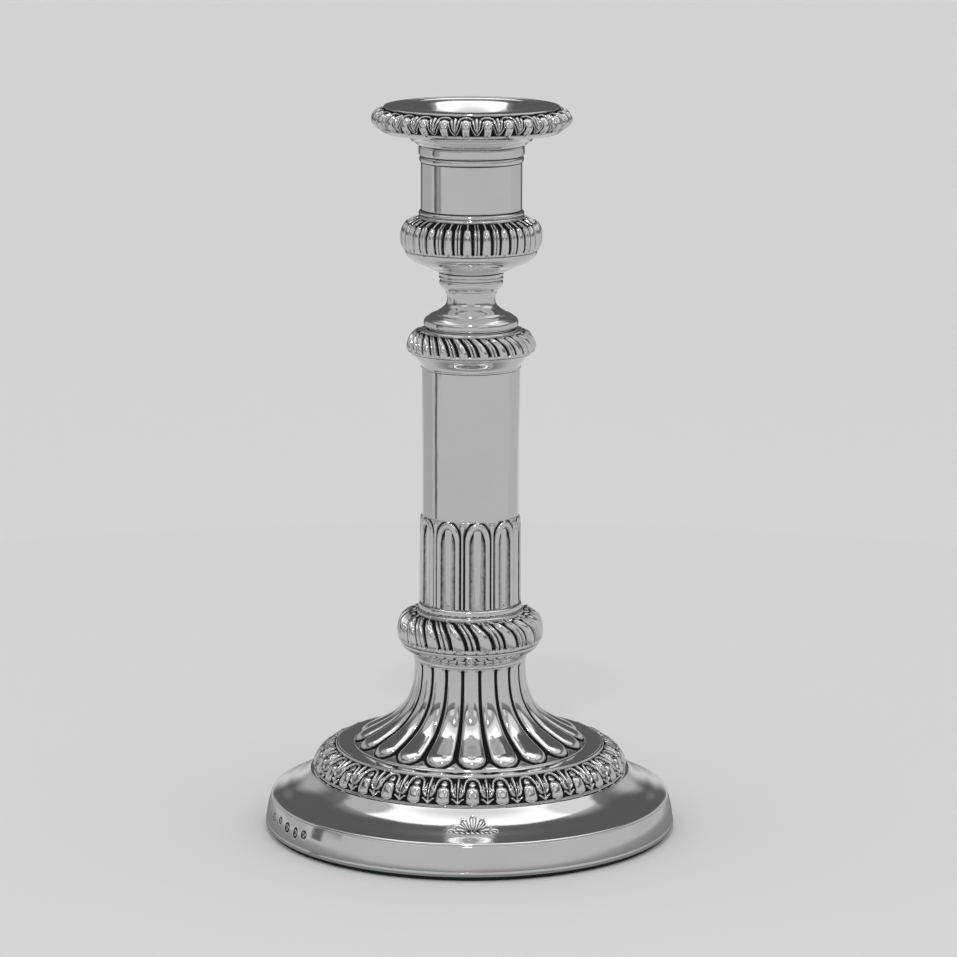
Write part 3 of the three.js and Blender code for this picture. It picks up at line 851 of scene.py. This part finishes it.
embossed(
    "collar_gadroon_band",
    "foot",
    below=[[(14.5, 129.45), (16.55, 129.45)], [(16.55, 129.45), (16.8, 129.7)]],
    band=[(16.8, 129.7), (17.2, 130.8), (16.9, 132.3), (15.5, 134.5), (13.3, 135.4)],
    above=[
        [(13.3, 135.4), (12.2, 135.6)],
        [(12.2, 135.6), (11.8, 135.5)],
        [(11.8, 135.5), (11.8, 133.4)],
        [(11.8, 133.4), (13.4, 132.2), (14.4, 130.8), (14.5, 129.45)],
    ],
    relief=gadroons(
        COLLAR_GADROONS,
        FACING["collar"],
        girth=17.0,
        lean=14.5,
        top=0.9,
        bottom=7.3,
        wide=1.42,
        reed=0.42,
        reed_at=0.46,
        height=1.1,
    ),
    columns=COLLAR_GADROONS * 48,
    step=0.15,
)
turned(
    "collar_moulding",
    "foot",
    outer=[
        [(12.95, 125.0), (13.2, 125.15), (13.15, 125.6)],
        [(13.15, 125.6), (13.3, 126.1), (13.8, 126.9), (14.6, 127.8), (14.9, 128.2)],
        [(14.9, 128.2), (15.1, 128.45)],
        [(15.1, 128.45), (15.8, 128.8), (16.2, 129.1), (16.25, 129.42)],
    ],
    inner=[
        [(16.25, 129.42), (11.8, 129.42)],
        [(11.8, 129.42), (11.8, 125.25)],
        [(11.8, 125.25), (12.4, 125.25)],
        [(12.4, 125.25), (12.45, 125.0)],
        [(12.45, 125.0), (12.95, 125.0)],
    ],
)
turned(
    "column_tube",
    "foot",
    outer=[[(12.5, 44.5), (12.5, 85.65)], [(12.5, 85.65), (12.9, 85.66)], [(12.9, 85.66), (12.9, 124.95)]],
    inner=bored((12.9, 124.95), (12.5, 44.5), 12.1),
    seam=0.12,
)
embossed(
    "lappet_calyx",
    "foot",
    below=[[(12.6, 61.75), (13.0, 61.75)], [(13.0, 61.75), (13.0, 61.9)]],
    band=[(13.0, 61.9), (12.97, 65.0), (12.93, 75.0), (12.9, 85.62)],
    above=[[(12.9, 85.62), (12.6, 85.62)], [(12.6, 85.62), (12.6, 61.75)]],
    relief=lappets,
    columns=LAPPETS * 90,
    step=0.34,
    depth=0.55,
)
turned(
    "calyx_band",
    "foot",
    outer=[[(13.3, 59.8), (13.7, 59.95), (13.85, 60.6), (13.8, 61.2), (13.5, 61.6), (13.3, 61.7)]],
    inner=bored((13.3, 61.7), (13.3, 59.8), 12.6),
)

# ---------------------------------------------------------------------------------------------
# Knop and foot
# ---------------------------------------------------------------------------------------------

embossed(
    "knop_gadroon_band",
    "foot",
    below=[[(16.8, 51.2), (18.6, 51.2)], [(18.6, 51.2), (18.95, 51.5)]],
    band=[(18.95, 51.5), (19.5, 52.6), (19.7, 54.8), (18.9, 57.4), (17.8, 58.5), (16.2, 59.4), (13.9, 59.75)],
    above=[
        [(13.9, 59.75), (13.2, 59.7)],
        [(13.2, 59.7), (13.2, 57.3)],
        [(13.2, 57.3), (15.4, 56.3), (16.5, 54.4), (16.8, 51.2)],
    ],
    relief=gadroons(
        KNOP_GADROONS,
        FACING["knop"],
        girth=19.5,
        lean=18,
        top=2.0,
        bottom=11.3,
        wide=2.05,
        reed=0.60,
        reed_at=0.68,
        height=1.4,
    ),
    columns=KNOP_GADROONS * 52,
    step=0.19,
)
turned(
    "knop_cove",
    "foot",
    outer=[
        [(14.7, 46.35), (15.1, 46.5), (15.1, 46.8)],
        [(15.1, 46.8), (15.25, 47.6), (16.2, 48.5), (17.4, 49.2), (18.2, 50.0)],
        [(18.2, 50.0), (18.45, 50.4), (18.5, 51.15)],
    ],
    inner=bored((18.5, 51.15), (14.7, 46.35), 12.6),
)
embossed(
    "trumpet_foot",
    "foot",
    below=[[(28.0, 22.4), (31.0, 22.4)], [(31.0, 22.4), (31.4, 24.3)]],
    band=[
        (31.4, 24.3),
        (30.4, 24.95),
        (28.5, 25.95),
        (26.0, 27.2),
        (23.5, 28.55),
        (21.5, 29.8),
        (19.5, 31.55),
        (18.0, 33.3),
        (16.9, 35.0),
        (15.6, 38.2),
        (15.0, 41.5),
        (14.85, 46.3),
    ],
    above=[
        [(14.85, 46.3), (13.6, 46.3)],
        [(13.6, 46.3), (13.7, 41.0), (15.6, 34.5), (20.0, 28.0), (28.0, 22.4)],
    ],
    relief=flutes,
    columns=FLUTES * 38,
    step=0.32,
    groove=0.85,
    depth=0.4,
)
turned(
    "foot_plate",
    "foot",
    outer=[[(26.5, 22.3), (35.2, 22.3)], [(35.2, 22.3), (35.2, 23.05)]],
    inner=[[(35.2, 23.05), (33.0, 23.02), (26.5, 23.02)], [(26.5, 23.02), (26.5, 22.3)]],
    seam=0.05,
)
embossed(
    "foot_border",
    "foot",
    below=[[(36.0, 17.2), (40.95, 17.15)], [(40.95, 17.15), (41.0, 16.4)]],
    band=[
        (41.0, 16.4),
        (41.6, 16.3),
        (42.05, 16.8),
        (42.05, 17.8),
        (41.2, 19.6),
        (38.5, 22.0),
        (35.9, 23.06),
        (35.25, 23.1),
    ],
    above=[[(35.25, 23.1), (35.22, 22.3)], [(35.22, 22.3), (36.4, 21.0), (38.8, 19.0), (36.0, 17.2)]],
    relief=foot_eggs,
    columns=EGGS_ON_FOOT * 36,
    step=0.2,
    groove=0.65,
    depth=0.2,
)

# ---------------------------------------------------------------------------------------------
# Base
# ---------------------------------------------------------------------------------------------

cut(
    "base_dome",
    "foot",
    outer=[
        [
            (53.42, 9.02),
            (53.32, 9.3),
            (53.12, 9.55),
            (52.8, 9.74),
            (52.35, 9.95),
            (51.0, 10.55),
            (49.0, 11.6),
            (47.0, 12.65),
            (45.6, 13.6),
            (44.2, 14.8),
            (43.2, 15.75),
            (42.8, 16.12),
        ],
        [(42.8, 16.12), (40.85, 16.3)],
        [(40.85, 16.3), (40.8, 17.0)],
        [(40.8, 17.0), (38.5, 17.08)],
    ],
    inner=[
        [(38.5, 17.08), (38.5, 16.2)],
        [(38.5, 16.2), (40.5, 16.12)],
        [(40.5, 16.12), (42.6, 14.55), (45.0, 12.75), (52.2, 9.02)],
        [(52.2, 9.02), (53.42, 9.02)],
    ],
    marks=sprig,
    first=-7,
    last=10,
)
cut(
    "base_skirt",
    "foot",
    outer=[[(54.8, 2.52), (54.62, 4.0), (54.25, 6.2), (53.75, 8.0), (53.43, 9.0)]],
    inner=[
        [(53.43, 9.0), (52.2, 9.0)],
        [(52.2, 9.0), (53.0, 6.0), (54.1, 2.52)],
        [(54.1, 2.52), (54.8, 2.52)],
    ],
    marks=punch_marks,
    first=-77,
    last=-50,
)
turned(
    "base_rim_wire",
    "foot",
    outer=[[(53.9, 1.12), (54.6, 1.18), (54.92, 1.45), (54.96, 1.9), (54.82, 2.49)]],
    inner=bored((54.82, 2.49), (53.9, 1.12), 52.95),
    columns=384,
    seam=0,
)
turned(
    "base_board",
    "foot",
    outer=[[(0, 1.0), (52.3, 1.0)], [(52.3, 1.0), (52.6, 1.2)], [(52.6, 1.2), (52.6, 3.2)]],
    inner=[[(52.6, 3.2), (0, 3.2)]],
    material=WOOD,
    seam=0,
)
turned(
    "baize_disc",
    "foot",
    outer=[[(0, 0), (53.6, 0)], [(53.6, 0), (53.9, 0.3)], [(53.9, 0.3), (53.9, 1.0)]],
    inner=[[(53.9, 1.0), (0, 0.95)]],
    material=BAIZE,
    seam=0,
)

# The pieces inside, which keep their CAD meshes
for hidden, material in (
    ("draw_tube_plug", BRASS),
    ("packing_ring", LEATHER),
    ("column_seat_plate", SILVER),
    ("pitch_filling", PITCH),
):
    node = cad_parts[hidden]
    for material_slot in node.material_slots:
        material_slot.material = material

# ---------------------------------------------------------------------------------------------
# Floor, light and camera
# ---------------------------------------------------------------------------------------------

FLOOR_SIDE = 24.0
floor_mesh = bpy.data.meshes.new("floor")
floor_corners = [(x * FLOOR_SIDE / 2, y * FLOOR_SIDE / 2, 0) for x, y in ((-1, -1), (1, -1), (1, 1), (-1, 1))]
floor_mesh.from_pydata(floor_corners, [], [(0, 1, 2, 3)])
floor = bpy.data.objects.new("floor", floor_mesh)
bpy.context.scene.collection.objects.link(floor)
paper = Shader("floor_paper", (0.79, 0.79, 0.79), 0.0, 0.6)
paper.link("Roughness", paper.between(paper.noise(30.0), 0.55, 0.7))
paper.set("Specular IOR Level", 0.1)
floor_mesh.materials.append(paper.material)

TENT_RADIUS, TENT_HEIGHT = 0.40, 0.80


def softbox(x, y, height):
    """The big soft light overhead: how much of a point of the tent is in it, and how bright it is there.

    A point of the wall is judged by where the line to it from the foot would meet the tent's top.
    """
    scale = TENT_HEIGHT / np.maximum(height, 0.05)
    aside, back = np.abs(x * scale), y * scale
    along = ramp(back, -0.33, -0.27) * (1 - ramp(back - 0.4 * aside, 0.05, 0.11))
    middle = 0.68 + 0.5 * ramp(back, -0.26, -0.02)
    strength = middle + (0.45 + 0.25 * (x > 0) - middle) * ramp(aside, 0.44, 0.52)
    return along * (1 - ramp(aside, 0.95, 1.05)) * ramp(height, 0.32, 0.36), strength


def wall_light(azimuth, height):
    """How bright the light tent's wall is: pale in front, dark behind above a pale foot, a gap at the left.

    azimuth is in degrees from the front, more than 0 to the right, and height in metres.
    """
    aside = np.abs(azimuth)
    front = 1 - ramp(aside, 96, 104)
    # In front: grey paper, with a dim band and two pale panels above it.
    before = 0.47 - 0.10 * ramp(height, 0.20, 0.30)
    before = before - 0.26 * ramp(aside, 16, 22) * ramp(height, 0.18, 0.20) * (1 - ramp(height, 0.29, 0.31))
    panel = ramp(height, 0.29, 0.31) * (1 - ramp(height, 0.44, 0.47))
    before = before + 0.3 * panel * (1 - ramp(np.abs(aside - 32), 12, 15))
    # Behind: dark, but paler towards each side, where a raised wing reflects more.
    behind = 0.60 - 0.50 * ramp(height, 0.02, 0.10)
    side = (0.38 + 0.06 * (azimuth > 0)) * (1 - 0.5 * ramp(height, 0.20, 0.26))
    wing = ramp(height, 0.33, 0.37) * (1 - ramp(height, 0.60, 0.64))
    side = side + (0.45 + 0.25 * (azimuth > 0) - side) * wing
    edge = 150 - 30 * ramp(height, 0.12, 0.26)
    blend = 6 + 12 * ramp(height, 0.12, 0.26)
    behind = side + (behind - side) * ramp((aside - edge) / blend, -1, 1)
    light = front * before + (1 - front) * behind
    # At the left: a dark gap with a dim upright beside it.
    gap = 1 - ramp(np.abs(azimuth + 89), 3.0, 4.5)
    upright = (1 - ramp(np.abs(azimuth + 79), 6.0, 8.0)) * ramp(height, 0.05, 0.08)
    light = light * (1 - 0.42 * upright) * (1 - 0.75 * gap)
    turn = np.radians(azimuth)
    box, strength = softbox(TENT_RADIUS * np.sin(turn), -TENT_RADIUS * np.cos(turn), height)
    return light + (strength - light) * box


def ceiling_light(x, y):
    """How bright the tent's top is: the soft light, and fainter paper before and behind it."""
    box, strength = softbox(x, y, TENT_HEIGHT + 0 * x)
    before, behind = 1 - ramp(y, -0.36, -0.28), (1 - ramp(y, 0.08, 0.28)) * ramp(y, 0.0, 0.06)
    around_it = 0.11 + 0.2 * before + 0.12 * behind
    return around_it + (strength - around_it) * box


def floor_light(x, y):
    """The tent's floor: in the candlestick's own shade at the middle, and palest at the back."""
    away = np.hypot(x, y)
    return 0.20 + 0.26 * ramp(away, 0.05, 0.14) + 0.10 * ramp(y, 0.1, 0.35)


def tent_part(name, points, faces, light):
    """A surface of the light tent, which only reflections see."""
    mesh = bpy.data.meshes.new(name)
    mesh.from_pydata(points, [], faces)
    mesh.attributes.new("light", "FLOAT", "POINT").data.foreach_set("value", light.astype(np.float32))
    mesh.materials.append(TENT)
    part = bpy.data.objects.new(name, mesh)
    bpy.context.scene.collection.objects.link(part)
    part.visible_camera = False
    part.visible_diffuse = False
    part.visible_shadow = False
    part.visible_transmission = False


def grid_faces(rows, columns):
    """Faces between rows of points that go right round."""
    faces = []
    for i in range(rows - 1):
        low, high = i * columns, (i + 1) * columns
        for j in range(columns):
            k = (j + 1) % columns
            faces.append((low + j, low + k, high + k, high + j))
    return faces


def tent_light():
    """A glow as strong as the mesh's "light" attribute says."""
    material = bpy.data.materials.new("tent_light")
    material.use_nodes = True
    tree = material.node_tree
    tree.nodes.clear()
    glow = tree.nodes.new("ShaderNodeEmission")
    bright = tree.nodes.new("ShaderNodeAttribute")
    bright.attribute_name = "light"
    tree.links.new(bright.outputs["Fac"], glow.inputs["Strength"])
    tree.links.new(glow.outputs[0], tree.nodes.new("ShaderNodeOutputMaterial").inputs["Surface"])
    material.cycles.emission_sampling = "NONE"
    return material


TENT = tent_light()


def polar(radius, azimuth, height):
    """Points from grids of radius, azimuth in degrees and height."""
    turn = np.radians(azimuth)
    grids = np.broadcast_arrays(radius * np.sin(turn), -radius * np.cos(turn), height)
    return np.stack(grids, 2).reshape(-1, 3)


WALL_LIFT, FLOOR_LIFT = 0.0005, 0.0004
WALL_ROWS, WALL_COLUMNS, RINGS = 161, 720, 80
azimuths = np.linspace(-180, 180, WALL_COLUMNS, endpoint=False)
spokes = azimuths[::4]
wall_azimuth, level = np.meshgrid(azimuths, np.linspace(0.0, TENT_HEIGHT, WALL_ROWS))
wall = polar(TENT_RADIUS, wall_azimuth, level + WALL_LIFT)
tent_part("tent_wall", wall.tolist(), grid_faces(*level.shape), wall_light(wall_azimuth, level).ravel())
reach, top_azimuth = np.meshgrid(np.linspace(0.002, TENT_RADIUS, RINGS), spokes, indexing="ij")
top = polar(reach, top_azimuth, TENT_HEIGHT)
tent_part("tent_top", top.tolist(), grid_faces(*reach.shape), ceiling_light(top[:, 0], top[:, 1]))
bottom = polar(reach, top_azimuth, FLOOR_LIFT)
tent_part("tent_floor", bottom.tolist(), grid_faces(*reach.shape), floor_light(bottom[:, 0], bottom[:, 1]))

# A small lamp in front, for the bright dots on the eggs and lobes.
lamp_light = bpy.data.lights.new("front_lamp", "AREA")
lamp_light.shape = "DISK"
lamp_light.size = 0.035
lamp_light.energy = 0.35
lamp = bpy.data.objects.new("front_lamp", lamp_light)
lamp.location = (-0.02, -0.36, 0.62)
lamp_aim = Vector((0, 0, 0.1)) - Vector(lamp.location)
lamp.rotation_euler = lamp_aim.to_track_quat("-Z", "Y").to_euler()
bpy.context.scene.collection.objects.link(lamp)

world = bpy.data.worlds.new("studio")
world.use_nodes = True
background = world.node_tree.nodes["Background"]
background.inputs["Color"].default_value = (0.85, 0.85, 0.85, 1)
background.inputs["Strength"].default_value = 0.95
bpy.context.scene.world = world
bpy.context.scene.view_settings.view_transform = "Standard"

CAMERA_DISTANCE = 1.069
CAMERA_HEIGHT = 0.3057
CAMERA_SIDE = 0.0021
LOOK_DOWN = 11.15  # degrees
LEAN = 0.2  # degrees
camera = bpy.data.objects.new("camera", bpy.data.cameras.new("camera"))
camera.data.sensor_width = 36.0
camera.data.lens = 154.2
camera.data.clip_start = 0.05
camera.data.clip_end = 60.0
camera.matrix_world = (
    Matrix.Translation((CAMERA_SIDE, -CAMERA_DISTANCE, CAMERA_HEIGHT))
    @ Matrix.Rotation(math.radians(90 - LOOK_DOWN), 4, "X")
    @ Matrix.Rotation(math.radians(LEAN), 4, "Z")
)
bpy.context.scene.collection.objects.link(camera)
bpy.context.scene.camera = camera
